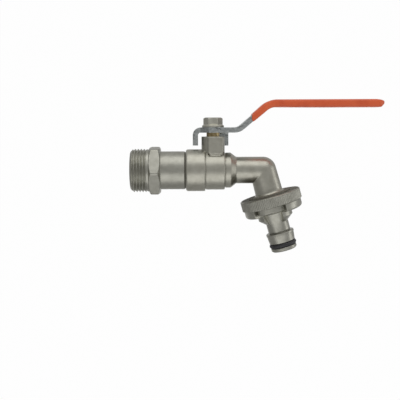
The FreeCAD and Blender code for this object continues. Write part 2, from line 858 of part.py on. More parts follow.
def make_adaptor():
    """Turned hose adaptor: knurled ring, core, neck and snap nipple, with two pairs of lugs."""
    body = new_body("hose_adaptor", elbow_place, size.spout_tilt)
    socket = size.outlet_thread_radius + size.thread_clearance
    core_end = knurl_end + size.core_height
    turn(body, "adaptor_turning", [
        (socket, -adaptor_top),
        (size.knurl_radius - size.knurl_bevel, -adaptor_top),
        (size.knurl_radius, -(adaptor_top + size.knurl_bevel)),
        (size.knurl_radius, -(knurl_end - size.knurl_bevel)),
        (size.knurl_radius - size.knurl_bevel, -knurl_end),
        (size.core_radius, -knurl_end),
        (size.core_radius, -core_end),
        (size.nipple_root_radius, -lug_end),
        (size.nipple_neck_radius, -nipple_neck),
        (size.nipple_neck_radius, -nipple_collar),
        (size.nipple_collar_radius, -nipple_collar),
        (size.nipple_collar_radius, -(nipple_collar + size.nipple_collar_height)),
        (size.nipple_barrel_radius, -nipple_groove),
        (size.nipple_ring_floor, -nipple_groove),
        (size.nipple_ring_floor, -nipple_tip),
        (size.nipple_barrel_radius, -nipple_tip),
        (size.nipple_barrel_radius, -(nipple_end - size.nipple_tip_bevel)),
        (size.nipple_barrel_radius - size.nipple_tip_bevel, -nipple_end),
        (size.nipple_bore_radius, -nipple_end),
        (size.nipple_bore_radius, -socket_end),
        (socket, -socket_end),
    ], "V_Axis")
    inner = size.core_radius - size.knurl_bevel
    lug = turn(body, "lug", [
        (inner, -knurl_end),
        (size.lug_ring_radius, -knurl_end),
        (size.lug_ring_radius, -(lug_end - size.lug_ring_round)),
        (size.lug_ring_radius - size.lug_ring_round, -lug_end),
        (size.small_lug_radius, -lug_end),
        (size.small_lug_radius, -(lug_end + size.small_lug_height)),
        (size.nipple_neck_radius, -nipple_neck),
        (size.nipple_neck_radius, -lug_end),
        (inner, -(socket_end + size.knurl_bevel)),
    ], "V_Axis", angle=size.lug_angle, swing=size.lug_turn)
    pair = body.newObject("PartDesign::PolarPattern", "lug_pair")
    pair.Originals = [lug]
    pair.Axis = (lug.Profile[0], ["V_Axis"])
    pair.Angle = 360
    pair.Occurrences = 2
    body.Tip = pair
    return body


def make_adaptor_seals():
    inner = size.passage_radius + size.seat_clearance
    outer = size.outlet_thread_radius - size.thread_clearance
    ring("adaptor_washer", inner, outer, -socket_end, size.adaptor_washer_thickness, "V_Axis",
         elbow_place, size.spout_tilt)
    centre = -(nipple_groove + size.nipple_groove_width / 2)
    o_ring("adaptor_o_ring", size.nipple_ring_floor, size.nipple_ring_cord, centre,
           elbow_place, size.spout_tilt)


NODES = (
    "inlet_end", "body_seal", "spout_body", "ball", "inlet_seat", "outlet_seat", "stem", "thrust_washer",
    "lower_stem_o_ring", "upper_stem_o_ring", "lever", "lever_grip", "lever_nut", "hose_adaptor",
    "adaptor_washer", "adaptor_o_ring",
)


def make_tap():
    make_inlet_end()
    make_body_seal()
    make_spout_body()
    make_ball()
    make_seat("inlet_seat", 180)
    make_seat("outlet_seat", 0)
    make_stem()
    make_stem_rings()
    make_lever()
    make_grip()
    make_nut()
    make_adaptor()
    make_adaptor_seals()
    doc.recompute()


def check_and_export():
    """Stops on any failed feature or broken solid, then writes one file for each node."""
    for thing in doc.Objects:
        if {"Invalid", "Error"} & set(thing.State):
            raise RuntimeError(f"{thing.Name} failed: {thing.State}")
    shapes = {label: doc.getObjectsByLabel(label)[0].Shape for label in NODES}
    for label, shape in shapes.items():
        if shape.isNull() or not shape.isValid() or len(shape.Solids) != 1:
            raise RuntimeError(f"{label} is not one sound solid")
    os.makedirs("parts", exist_ok=True)
    for label, shape in shapes.items():
        shape.exportStep(f"parts/{label}.step")
        print(f"{label}: {shape.Volume:.1f} mm3")


make_tap()
check_and_export()
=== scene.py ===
# Looks, light and camera for the water butt tap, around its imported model
import json
import math

import bmesh
import bpy
from mathutils import Matrix, Vector


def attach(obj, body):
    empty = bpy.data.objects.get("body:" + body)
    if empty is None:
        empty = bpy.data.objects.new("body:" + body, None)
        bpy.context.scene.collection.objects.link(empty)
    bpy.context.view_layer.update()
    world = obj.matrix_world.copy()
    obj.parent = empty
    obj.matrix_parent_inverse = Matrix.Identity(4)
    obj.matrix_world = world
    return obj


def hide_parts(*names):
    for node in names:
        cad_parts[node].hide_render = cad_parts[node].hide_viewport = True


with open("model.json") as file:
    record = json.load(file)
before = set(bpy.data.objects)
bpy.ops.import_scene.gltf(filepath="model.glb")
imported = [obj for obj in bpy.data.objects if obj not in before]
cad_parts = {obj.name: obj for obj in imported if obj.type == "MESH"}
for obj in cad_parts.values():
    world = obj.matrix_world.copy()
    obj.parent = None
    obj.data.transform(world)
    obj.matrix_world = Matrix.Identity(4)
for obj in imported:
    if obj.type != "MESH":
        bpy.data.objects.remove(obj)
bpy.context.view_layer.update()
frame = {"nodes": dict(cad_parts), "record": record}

MM = 0.001

# Meshes: points this near, in millimetres, are one point, and edges sharper than this stay hard
MERGE_DISTANCE = 0.001
SHARP_ANGLE = math.radians(32)

# Distance in millimetres that is too small to see
HAIR = 0.01

# Inlet end, in millimetres from the face where the thread meets the hexagon
THREAD_RADIUS = 13.22
THREAD_PITCH = 1.814
THREAD_DEPTH = 0.9
THREAD_LENGTH = 11.4
THREAD_LEAD = 1.6
THREAD_RUNOUT = 0.9
THREAD_STEPS = 12
THREAD_COLLAR = 0.9
THREAD_COLLAR_RADIUS = 12.9
HEX_ACROSS_FLATS = 27.5
HEX_LENGTH = 6.95
HEX_TURN = math.radians(5)
HEX_CORNER_RADIUS = 15.68
HEX_BEVEL = 0.3
HEX_BEVEL_ANGLE = math.radians(30)
HEX_END = 1.5
HEX_END_STEPS = 6
NECK_RADIUS = 11.65
NECK_END = 21.8
SPIGOT_RADIUS = 10.4
SPIGOT_END = 33.35
SEAT_POCKET_RADIUS = 8.85
SEAT_FLOOR = 29.75
THROAT_RADIUS = 6.0
INLET_BORE_RADIUS = 8.5
INLET_BORE_END = 18.6
INLET_EDGE = 0.25
INLET_COLUMNS = 360

# Thread's start as a share of a turn, and its flat root and sloping flank as shares of half a ridge
THREAD_TURN = 0.68
THREAD_ROOT = 0.12
THREAD_FLANK = 0.7

# Pad on the front of the stem boss and the fillet below it, in millimetres
PAD_LEFT = 36.05
PAD_RIGHT = 44.85
PAD_BOTTOM = 10.0
PAD_FRONT = 8.6
PAD_CORNER = 1.8
BARREL_RADIUS = 11.95
FILLET_WIDTH = 1.5
FILLET_END_WIDTH = 0.5
FILLET_INSET = 0.15
FILLET_CORNER_ANGLE = math.radians(75)
FILLET_CORNER_STEPS = 8
FILLET_CURVE_STEPS = 6

# How far the fillet's hollow is drawn back to the barrel, from not at all (0) to fully (1)
FILLET_HOLLOW = 0.6

# Hose adaptor, in millimetres along the spout from the elbow
KNURL_RADIUS = 18.75
KNURL_TOP = 15.7
KNURL_END = 22.2
KNURL_BEVEL = 0.45
KNURL_TEETH = 98
KNURL_DEPTH = 0.25
KNURL_FLANK = 1.6
KNURL_STEPS = 5
SOCKET_RADIUS = 13.27
SOCKET_END = 24.8
LUG_RADIUS = 17.85
LUG_END = 27.0
LUG_DRAFT = 0.1
LUG_ROUND = 1.8
LUG_ROUND_STEPS = 5
CORE_RADIUS = 15.6
CORE_END = 25.6
NOTCH_DEPTH = 1.6
SMALL_LUG_RADIUS = 10.7
SMALL_LUG_END = 30.2
NIPPLE_ROOT_RADIUS = 8.9
NIPPLE_ROOT_TAPER = 1.0
NIPPLE_NECK_RADIUS = 6.9
NIPPLE_NECK = 33.4
NIPPLE_COLLAR = 39.6
NIPPLE_UNDERCUT = 0.45
UNDERCUT_DEPTH = 0.4
NIPPLE_COLLAR_RADIUS = 8.65
NIPPLE_COLLAR_END = 41.1
NIPPLE_BARREL_RADIUS = 7.95
NIPPLE_GROOVE = 45.9
NIPPLE_RING_FLOOR = 5.75
NIPPLE_TIP = 48.8
NIPPLE_END = 51.1
NIPPLE_BEVEL = 0.7
NIPPLE_BORE_RADIUS = 4.5
ADAPTOR_EDGE = 0.2

# Angles of the adaptor's lugs and of the notches at their ends, in degrees
LUG_ANGLE = 113.5
LUG_TURN = 12.2
NOTCH_ANGLE = 7.0

# Place along the spout, in millimetres from the elbow, past which the body is stained and darkened with
# painted shade
STAIN_AND_SHADE_START = 15.0

# Lever's strip, in millimetres from the stem's axis
STEM_PLACE = 39.15
STRIP_MIDDLE = 24.6
STRIP_HALF_THICKNESS = 1.6
STRIP_HALF_WIDTH = 7.0
STRIP_REACH = 101.8
STRIP_TIP_ROUND = 5.0
RISE_START = 15.6
RISE_ANGLE = math.radians(40.2)
RISE_HEIGHT = 15.9
LEVEL_BEND = 11.2
LEVEL_HEIGHT = STRIP_MIDDLE + RISE_HEIGHT
LEVEL_START = RISE_START + RISE_HEIGHT / math.tan(RISE_ANGLE) + LEVEL_BEND * math.tan(RISE_ANGLE / 2)

# Ends of the strip's upper bend, in millimetres along the strip from the foot of its rise
BEND_START = RISE_HEIGHT / math.sin(RISE_ANGLE) - LEVEL_BEND * math.tan(RISE_ANGLE / 2)
BEND_END = BEND_START + LEVEL_BEND * RISE_ANGLE

# Vinyl sleeve: places along the strip are as above, and heights are from the strip's middle
SLEEVE_GAP = 0.05
SLEEVE_MOUTH = 10.1
MOUTH_SLANT = 0.6
MOUTH_BULGE = 0.25
MOUTH_SLANT_REACH = 8.0
MOUTH_ROUND = 1.0
SLEEVE_HALF_WIDTH = 7.7
SLEEVE_ROUND = 1.5
SLEEVE_TOPS = ((SLEEVE_MOUTH, 2.12), (28.4, 2.3))
SLEEVE_BOTTOMS = ((SLEEVE_MOUTH, -1.95), (28.4, -2.2), (55.0, -2.4))
SLEEVE_REACH = 104.02
TIP_ROUND = 5.7
TIP_LENGTH = 7.1
TIP_DROP = 1.6
TIP_SLANT = 2.4
TIP_RISE = 2.2

# Rings along the sleeve's parts, and points round its corners and up its sides
TIP_STEPS = 16
LEVEL_STEPS = 10
BEND_STEPS = 12
RISE_STEPS = 8
ROUND_STEPS = 8
CORNER_STEPS = 6
SIDE_STEPS = 6

# Largest corner of a section, as a share of its half width and of its height
CORNER_WIDTH_SHARE = 0.9
CORNER_HEIGHT_SHARE = 0.49

# Materials: samples of the corner and edge nodes, and the middle range of a noise
NODE_SAMPLES = 6
NOISE_LOW = 0.3
NOISE_HIGH = 0.7

# Painted shade in corners reaches this far from a corner, in millimetres, from deep in it to where it is
# open
CORNER_SHADE_REACH = 1.2
NOOK_DEEP = 0.35
NOOK_OPEN = 0.85

# Levels of a noise between which dark patches begin and are full
PATCH_START = 0.56
PATCH_FULL = 0.68

# Dull stain whose dark colour is also painted shade, which fades in over this many millimetres
STAIN_AND_SHADE_COLOUR = (0.155, 0.143, 0.115)
STAIN_ROUGHNESS = 0.7
STAIN_METALLIC = 0.3
STAIN_AND_SHADE_FADE = 0.3

# Places of a Mix node's factor, and of its first, second and result sockets for each kind of value
MIX_FACTOR = 0
MIX_SOCKETS = {"FLOAT": (2, 3, 0), "RGBA": (6, 7, 2)}

# Camera: the point in the middle of the picture, how far off it is and how steeply it is seen
VIEW_CENTRE = Vector((31.0, 0.0, -18.4)) * MM
VIEW_DISTANCE = 469 * MM
VIEW_ELEVATION = math.radians(5.5)
VIEW_ANGLE = math.radians(29.5)
VIEW_ROLL = math.radians(-0.25)
CLIP_START = 0.01
CLIP_END = 20.0

# White sweep, in metres
STAGE_HALF_WIDTH = 1.0
STAGE_FLOOR = -0.7
STAGE_NEAR = 1.3
STAGE_FAR = 3.0
STAGE_BEND = 0.6
STAGE_BEND_STEPS = 12
STAGE_TOP = 0.7
STAGE_PAINT = (0.85, 0.85, 0.85, 1)
STAGE_WHITE = (1, 1, 1, 1)
STAGE_GLOW_SHARE = 0.98

# Brightness of the surroundings from straight down (0) to straight up (1)
WORLD_LEVELS = ((0.0, 0.40), (0.40, 0.50), (0.55, 0.45), (0.75, 0.55), (1.0, 0.60))

# Share of that brightness at the far left (-1), and how far to the left it begins to fall
LEFT_SHARE = 0.7
LEFT_START = -0.35

# Lamps, in metres and watts: place, target, width, height and power
LAMP_TARGET = (0.04, 0.0, 0.0)
LAMPS = {
    "overhead": ((0.04, -0.28, 0.75), LAMP_TARGET, 1.2, 0.75, 2.7),
    "front_low": ((0.04, -0.58, -0.56), LAMP_TARGET, 1.2, 0.75, 2.2),
    "right_side": ((0.85, -0.04, -0.02), (0.08, 0.0, -0.03), 0.28, 0.5, 0.62),
}


def steps(start, end, count):
    """Evenly spaced values from start to end, both included."""
    return [start + (end - start) * index / count for index in range(count + 1)]


def arc_steps(count):
    """Shares from 0 to 1 that start close together, as points on a quarter circle do."""
    return [1 - math.cos(share * math.pi / 2) for share in steps(0, 1, count)]


def unit(value):
    """Value kept between 0 and 1."""
    return min(1.0, max(0.0, value))


def ridge(turns):
    """Height from 0 to 1 of a ridge that comes once in each turn."""
    return 1.0 - abs(2.0 * (turns % 1.0) - 1.0)


def between(table, place):
    """Value at a place from a table of places and values, level before the first and after the last."""
    for (start, low), (end, high) in zip(table, table[1:]):
        if place < end:
            return low + (high - low) * max(0.0, (place - start) / (end - start))
    return table[-1][1]


def metres(*point):
    """Point in metres from one in millimetres."""
    return tuple(value * MM for value in point)


def mount(name):
    return next(item for item in frame["record"]["mounts"] if item["name"] == name)


def spout_matrix():
    """Frame at the elbow whose Z axis points back up the spout."""
    spigot = mount("hose_spigot")
    down = Vector(spigot["axis"]).normalized()
    place = Vector(spigot["pos_m"])
    elbow = place - down * (place.z / down.z)
    turn = Vector((0, 0, 1)).rotation_difference(-down).to_matrix().to_4x4()
    return Matrix.Translation(elbow) @ turn


def inlet_matrix():
    """Frame on the inlet axis whose Z axis points along the flow."""
    return Matrix.Rotation(math.radians(90), 4, "Y")


def add_object(name, data):
    """Puts a mesh, lamp or camera into the scene."""
    thing = bpy.data.objects.new(name, data)
    bpy.context.scene.collection.objects.link(thing)
    return thing


def clean_mesh(mesh):
    """Merges points that coincide, turns faces outwards and keeps hard edges under smooth shading."""
    work = bmesh.new()
    work.from_mesh(mesh)
    bmesh.ops.remove_doubles(work, verts=work.verts, dist=MERGE_DISTANCE * MM)
    bmesh.ops.recalc_face_normals(work, faces=work.faces)
    work.to_mesh(mesh)
    work.free()
    mesh.shade_smooth()
    mesh.set_sharp_from_angle(angle=SHARP_ANGLE)


def skin(name, rings, capped):
    """Piece with faces between rings of points: its ends are capped, or its last ring meets the first."""
    count = len(rings[0])
    starts = [index * count for index in range(len(rings))]
    nexts = starts[1:] + starts[:1]
    faces = []
    if capped:
        nexts = starts[1:]
        faces = [tuple(range(start, start + count)) for start in (starts[0], starts[-1])]
    for first, second in zip(starts, nexts):
        for index in range(count):
            after = (index + 1) % count
            faces.append((first + index, first + after, second + after, second + index))
    mesh = bpy.data.meshes.new(name)
    mesh.from_pydata([point for ring in rings for point in ring], [], faces)
    clean_mesh(mesh)
    return add_object(name, mesh)


def turned_piece(name, rows, columns, matrix):
    """Piece turned about the matrix's Z axis, from rows of a height and a radius or a function for it."""
    rings = []
    for height, radius in rows:
        ring = []
        for column in range(columns):
            angle = 2 * math.pi * column / columns
            reach = radius(angle, height) if callable(radius) else radius
            ring.append(matrix @ (Vector((reach * math.cos(angle), reach * math.sin(angle), height)) * MM))
        rings.append(ring)
    return skin(name, rings, capped=False)


def thread_radius(angle, height):
    """Helical pipe thread with a bevelled lead-in, which runs out into a smooth collar by the hexagon."""
    turns = height / THREAD_PITCH + angle / (2 * math.pi) + THREAD_TURN
    crest = unit((ridge(turns) - THREAD_ROOT) / THREAD_FLANK)
    cut = THREAD_RADIUS - THREAD_DEPTH * (1.0 - crest)
    lead = (height + THREAD_LENGTH) / THREAD_LEAD
    limit = THREAD_RADIUS - THREAD_LEAD * max(0.0, 1.0 - lead)
    share = unit((-height - THREAD_COLLAR) / THREAD_RUNOUT)
    return min(limit, THREAD_COLLAR_RADIUS + (cut - THREAD_COLLAR_RADIUS) * share)


def hexagon_radius(angle, height):
    """Hexagon with a corner to the front, cut back by a bevel at each end."""
    sector = (angle + math.pi / 2 - HEX_TURN) % (math.pi / 3) - math.pi / 6
    flat = HEX_ACROSS_FLATS / 2 / math.cos(sector)
    inset = min(height, HEX_LENGTH - height)
    cone = HEX_ACROSS_FLATS / 2 - HEX_BEVEL + inset / math.tan(HEX_BEVEL_ANGLE)
    return min(flat, cone, HEX_CORNER_RADIUS)


def make_inlet_end():
    """Inlet end with its real thread, hexagon, neck and bores."""
    edge = INLET_EDGE
    thread_rows = int(THREAD_LENGTH / THREAD_PITCH * THREAD_STEPS)
    hex_heights = steps(0, HEX_END, HEX_END_STEPS)
    hex_heights += steps(HEX_LENGTH - HEX_END, HEX_LENGTH, HEX_END_STEPS)
    rows = [(-THREAD_LENGTH, INLET_BORE_RADIUS + edge)]
    rows += [(height, thread_radius) for height in steps(-THREAD_LENGTH, -HAIR, thread_rows)]
    rows += [(height, hexagon_radius) for height in hex_heights]
    rows += [
        (HEX_LENGTH, NECK_RADIUS + edge),
        (HEX_LENGTH + edge, NECK_RADIUS),
        (NECK_END - edge, NECK_RADIUS),
        (NECK_END, NECK_RADIUS - edge),
        (NECK_END, SPIGOT_RADIUS),
        (SPIGOT_END, SPIGOT_RADIUS),
        (SPIGOT_END, SEAT_POCKET_RADIUS),
        (SEAT_FLOOR, SEAT_POCKET_RADIUS),
        (SEAT_FLOOR, THROAT_RADIUS),
        (INLET_BORE_END + INLET_BORE_RADIUS - THROAT_RADIUS, THROAT_RADIUS),
        (INLET_BORE_END, INLET_BORE_RADIUS),
        (-THREAD_LENGTH + edge, INLET_BORE_RADIUS),
    ]
    piece = turned_piece("inlet_end_threaded", rows, INLET_COLUMNS, inlet_matrix())
    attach(piece, "tap_body")
    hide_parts("inlet_end")
    return piece


def pad_edge():
    """Points along the pad's lower edge: place, height, direction off the pad and width of the fillet."""
    corner = []
    for share in steps(0, 1, FILLET_CORNER_STEPS):
        angle = FILLET_CORNER_ANGLE * (1 - share)
        side = PAD_CORNER * (1 - math.sin(angle))
        height = PAD_BOTTOM + PAD_CORNER * (1 - math.cos(angle))
        width = FILLET_END_WIDTH + (FILLET_WIDTH - FILLET_END_WIDTH) * math.sqrt(share)
        corner.append((side, height, math.sin(angle), -math.cos(angle), width))
    left = [(PAD_LEFT + side, height, -out, up, width) for side, height, out, up, width in corner]
    right = [(PAD_RIGHT - side, height, out, up, width) for side, height, out, up, width in corner]
    return left + right[::-1]


def barrel_front(height):
    """How far in front of the barrel's axis its skin lies at a height, less the fillet's inset."""
    return math.sqrt(BARREL_RADIUS ** 2 - height ** 2) - FILLET_INSET


def fillet_section(height, up, width):
    """Points round the fillet: how far off the pad's edge, and how far in front of the barrel's axis."""
    top = PAD_FRONT - FILLET_INSET
    behind = barrel_front(height)
    foot = barrel_front(height + up * width)
    middle = top + (behind - top) * FILLET_HOLLOW
    section = [(-FILLET_INSET, top)]
    for share in steps(0, 1, FILLET_CURVE_STEPS):
        depth = top * (1 - share) ** 2 + middle * 2 * share * (1 - share) + foot * share ** 2
        section.append((width * share ** 2, depth))
    section.append((-FILLET_INSET, behind))
    return section


def make_pad_fillet():
    """Hollow cast fillet that fills the corner between the pad's lower edge and the barrel."""
    rings = []
    for place, height, out, up, width in pad_edge():
        section = fillet_section(height, up, width)
        rings.append([metres(place + out * off, -depth, height + up * off) for off, depth in section])
    piece = skin("pad_fillet", rings, capped=True)
    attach(piece, "tap_body")
    return piece


def knurl_radius(angle, height):
    """Straight knurl round the ring."""
    tooth = min(1.0, ridge(angle / (2 * math.pi) * KNURL_TEETH) * KNURL_FLANK)
    return KNURL_RADIUS - KNURL_DEPTH * (1.0 - tooth)


def from_lug(angle):
    """Degrees from the middle of the nearer of the two lugs, at the left and right of the adaptor."""
    return abs((math.degrees(angle) + LUG_TURN + 90) % 180 - 90)


def lugged(lug_radius, core_radius, notch=0.0):
    """Radius that stands out in the lugs and falls back to the core, lower in the notches by their ends."""
    def radius(angle, height):
        apart = from_lug(angle) - LUG_ANGLE / 2
        if apart <= 0:
            return lug_radius
        return core_radius - notch if apart < NOTCH_ANGLE else core_radius
    return radius


def lug_rows():
    """Rows of the lugs up to their rounded rim: place, radius of the lugs and radius of the core."""
    slope = (NIPPLE_ROOT_RADIUS - CORE_RADIUS) / (LUG_END - CORE_END)
    rows = [
        (CORE_END - ADAPTOR_EDGE, LUG_RADIUS, CORE_RADIUS),
        (CORE_END, LUG_RADIUS - LUG_DRAFT, CORE_RADIUS - ADAPTOR_EDGE),
    ]
    for share in steps(0, 1, LUG_ROUND_STEPS)[1:]:
        angle = share * math.pi / 2
        place = LUG_END - LUG_ROUND + LUG_ROUND * math.sin(angle)
        reach = LUG_RADIUS - LUG_ROUND + LUG_ROUND * math.cos(angle)
        core = min(CORE_RADIUS - ADAPTOR_EDGE, CORE_RADIUS + slope * (place - CORE_END))
        if place > CORE_END:
            rows.append((place, reach, core))
    return rows


def ring_rows():
    """Rows of the adaptor from its open end to the small lugs: place, and radius or a function for it."""
    edge = ADAPTOR_EDGE
    rim = KNURL_RADIUS - KNURL_BEVEL - KNURL_DEPTH
    rows = [
        (KNURL_TOP, SOCKET_RADIUS + edge),
        (KNURL_TOP, rim),
        (KNURL_TOP + KNURL_BEVEL, knurl_radius),
        (KNURL_END - KNURL_BEVEL, knurl_radius),
        (KNURL_END, rim),
        (KNURL_END, lugged(LUG_RADIUS, CORE_RADIUS + edge, NOTCH_DEPTH)),
        (KNURL_END + edge, lugged(LUG_RADIUS, CORE_RADIUS, NOTCH_DEPTH)),
    ]
    for place, lug, core in lug_rows():
        rows.append((place, lugged(lug, core, min(NOTCH_DEPTH, core - NIPPLE_ROOT_RADIUS))))
    rows += [
        (LUG_END, lugged(SMALL_LUG_RADIUS + edge, NIPPLE_ROOT_RADIUS)),
        (LUG_END + edge, lugged(SMALL_LUG_RADIUS, NIPPLE_ROOT_RADIUS - LUG_DRAFT)),
        (SMALL_LUG_END, lugged(SMALL_LUG_RADIUS, NIPPLE_ROOT_RADIUS - NIPPLE_ROOT_TAPER)),
    ]
    return rows


def nipple_rows():
    """Rows of the adaptor's nipple, and back through its bore and socket: place and radius."""
    edge = ADAPTOR_EDGE
    return [
        (NIPPLE_NECK, NIPPLE_NECK_RADIUS),
        (NIPPLE_COLLAR - NIPPLE_UNDERCUT - edge, NIPPLE_NECK_RADIUS),
        (NIPPLE_COLLAR - NIPPLE_UNDERCUT, NIPPLE_NECK_RADIUS - UNDERCUT_DEPTH),
        (NIPPLE_COLLAR, NIPPLE_NECK_RADIUS - UNDERCUT_DEPTH),
        (NIPPLE_COLLAR, NIPPLE_COLLAR_RADIUS - edge),
        (NIPPLE_COLLAR + edge, NIPPLE_COLLAR_RADIUS),
        (NIPPLE_COLLAR_END - edge, NIPPLE_COLLAR_RADIUS),
        (NIPPLE_COLLAR_END, NIPPLE_COLLAR_RADIUS - edge),
        (NIPPLE_GROOVE - edge, NIPPLE_BARREL_RADIUS),
        (NIPPLE_GROOVE, NIPPLE_BARREL_RADIUS - edge),
        (NIPPLE_GROOVE, NIPPLE_RING_FLOOR),
        (NIPPLE_TIP, NIPPLE_RING_FLOOR),
        (NIPPLE_TIP, NIPPLE_BARREL_RADIUS - edge),
        (NIPPLE_TIP + edge, NIPPLE_BARREL_RADIUS),
        (NIPPLE_END - NIPPLE_BEVEL, NIPPLE_BARREL_RADIUS),
        (NIPPLE_END, NIPPLE_BARREL_RADIUS - NIPPLE_BEVEL),
        (NIPPLE_END, NIPPLE_BORE_RADIUS + edge),
        (NIPPLE_END - edge, NIPPLE_BORE_RADIUS),
        (SOCKET_END, NIPPLE_BORE_RADIUS),
        (SOCKET_END, SOCKET_RADIUS),
        (KNURL_TOP + edge, SOCKET_RADIUS),
    ]


def make_hose_adaptor():
    """Hose adaptor with its knurl, lugs and snap nipple."""
    rows = [(-place, radius) for place, radius in ring_rows() + nipple_rows()]
    piece = turned_piece("hose_adaptor_knurled", rows, KNURL_TEETH * KNURL_STEPS, spout_matrix())
    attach(piece, "tap_body")
    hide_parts("hose_adaptor")
    return piece


def along_strip(reach):
    """Place along the strip of a point on its level part, given by its distance from the stem."""
    return BEND_END + reach - LEVEL_START


def strip_line(place):
    """Point on the strip's middle line, and the slope there."""
    if place < BEND_START:
        right = RISE_START + place * math.cos(RISE_ANGLE)
        return (right, STRIP_MIDDLE + place * math.sin(RISE_ANGLE)), RISE_ANGLE
    if place < BEND_END:
        slope = RISE_ANGLE - (place - BEND_START) / LEVEL_BEND
        right = LEVEL_START - LEVEL_BEND * math.sin(slope)
        return (right, LEVEL_HEIGHT - LEVEL_BEND * (1 - math.cos(slope))), slope
    return (LEVEL_START + place - BEND_END, LEVEL_HEIGHT), 0.0


def rounded_off(half_width, radius, left):
    """Half width of a strip whose end has rounded corners, at a distance from that end."""
    if left >= radius:
        return half_width
    return half_width - radius + math.sqrt(radius ** 2 - (radius - left) ** 2)


def rounded_section(half_width, top, bottom, radius):
    """Points round a section with rounded corners and a few points on its two sides."""
    radius = min(radius, half_width * CORNER_WIDTH_SHARE, (top - bottom) * CORNER_HEIGHT_SHARE)
    corners = (
        (1, top - radius),
        (-1, top - radius),
        (-1, bottom + radius),
        (1, bottom + radius),
    )
    points = []
    for corner, (side, middle) in enumerate(corners):
        for share in steps(0, 1, CORNER_STEPS):
            angle = (corner + share) * math.pi / 2
            across = side * (half_width - radius) + radius * math.cos(angle)
            points.append((across, middle + radius * math.sin(angle)))
        if corner in (1, 3):
            far = top + bottom - middle
            points += [(side * half_width, height) for height in steps(middle, far, SIDE_STEPS)[1:-1]]
    return points


def strip_ring(place, half_width, top, bottom, radius):
    """Section across the strip, which leans and bulges near the mouth as the dip left it."""
    (x, z), slope = strip_line(place)
    near_mouth = unit(1 - (place - SLEEVE_MOUTH) / MOUTH_SLANT_REACH)
    ring = []
    for across, height in rounded_section(half_width, top, bottom, radius):
        forward = near_mouth * (MOUTH_SLANT * height + MOUTH_BULGE * height ** 2)
        right = STEM_PLACE + x + forward * math.cos(slope) - height * math.sin(slope)
        up = z + forward * math.sin(slope) + height * math.cos(slope)
        ring.append(metres(right, across, up))
    return ring


def sleeve_outside(place):
    """Ring of the sleeve's skin, which thins to nothing at the mouth and drops to a blunt nose."""
    left = along_strip(SLEEVE_REACH) - place
    drop = TIP_DROP * (1 - math.sqrt(1 - unit(1 - left / TIP_LENGTH) ** 2))
    rise = TIP_RISE * unit(1 - left / TIP_SLANT)
    lip = unit((place - SLEEVE_MOUTH) / MOUTH_ROUND)
    share = math.sqrt(1 - (1 - lip) ** 2)
    inner = STRIP_HALF_THICKNESS + SLEEVE_GAP
    inner_width = STRIP_HALF_WIDTH + SLEEVE_GAP
    outer_width = rounded_off(SLEEVE_HALF_WIDTH, TIP_ROUND, left)
    top = inner + (between(SLEEVE_TOPS, place) - drop - inner) * share
    bottom = -inner + (between(SLEEVE_BOTTOMS, place) + rise + inner) * share
    half_width = inner_width + (outer_width - inner_width) * share
    return strip_ring(place, half_width, top, bottom, SLEEVE_ROUND * share + SLEEVE_GAP)


def sleeve_inside(place):
    """Ring of the space inside the sleeve, just clear of the strip."""
    left = along_strip(STRIP_REACH) + SLEEVE_GAP - place
    half_width = rounded_off(STRIP_HALF_WIDTH + SLEEVE_GAP, STRIP_TIP_ROUND, left)
    half = STRIP_HALF_THICKNESS + SLEEVE_GAP
    return strip_ring(place, half_width, half, -half, SLEEVE_GAP)


def outside_places():
    """Places of the rings on the sleeve's skin, from the tip to the mouth."""
    end = along_strip(SLEEVE_REACH)
    places = [end - TIP_LENGTH * share for share in arc_steps(TIP_STEPS)]
    places += steps(end - TIP_LENGTH, BEND_END, LEVEL_STEPS)[1:]
    places += steps(BEND_END, BEND_START, BEND_STEPS)[1:]
    places += steps(BEND_START, SLEEVE_MOUTH + MOUTH_ROUND, RISE_STEPS)[1:]
    places += [SLEEVE_MOUTH + MOUTH_ROUND * share for share in arc_steps(ROUND_STEPS)[-2::-1]]
    return places


def inside_places():
    """Places of the rings inside the sleeve, from the mouth to the strip's end."""
    end = along_strip(STRIP_REACH) + SLEEVE_GAP
    places = steps(SLEEVE_MOUTH, BEND_START, RISE_STEPS)[1:]
    places += steps(BEND_START, BEND_END, BEND_STEPS)[1:]
    places += [end - STRIP_TIP_ROUND * share for share in arc_steps(ROUND_STEPS)[::-1]]
    return places


def make_grip():
    """Dipped sleeve on the lever, hollow where the strip lies."""
    rings = [sleeve_outside(place) for place in outside_places()]
    rings += [sleeve_inside(place) for place in inside_places()]
    piece = skin("grip_sleeve", rings, capped=True)
    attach(piece, "lever_group")
    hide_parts("lever_grip")
    return piece


def map_range(tree, source, start, end, low=0.0, high=1.0):
    """Socket that moves from low to high while the source moves from start to end."""
    node = tree.nodes.new("ShaderNodeMapRange")
    node.inputs["From Min"].default_value = start
    node.inputs["From Max"].default_value = end
    node.inputs["To Min"].default_value = low
    node.inputs["To Max"].default_value = high
    tree.links.new(source, node.inputs["Value"])
    return node.outputs["Result"]


def scaled(tree, colour, share):
    """Socket with a colour scaled by a share."""
    node = tree.nodes.new("ShaderNodeVectorMath")
    node.operation = "SCALE"
    tree.links.new(colour, node.inputs[0])
    tree.links.new(share, node.inputs["Scale"])
    return node.outputs["Vector"]


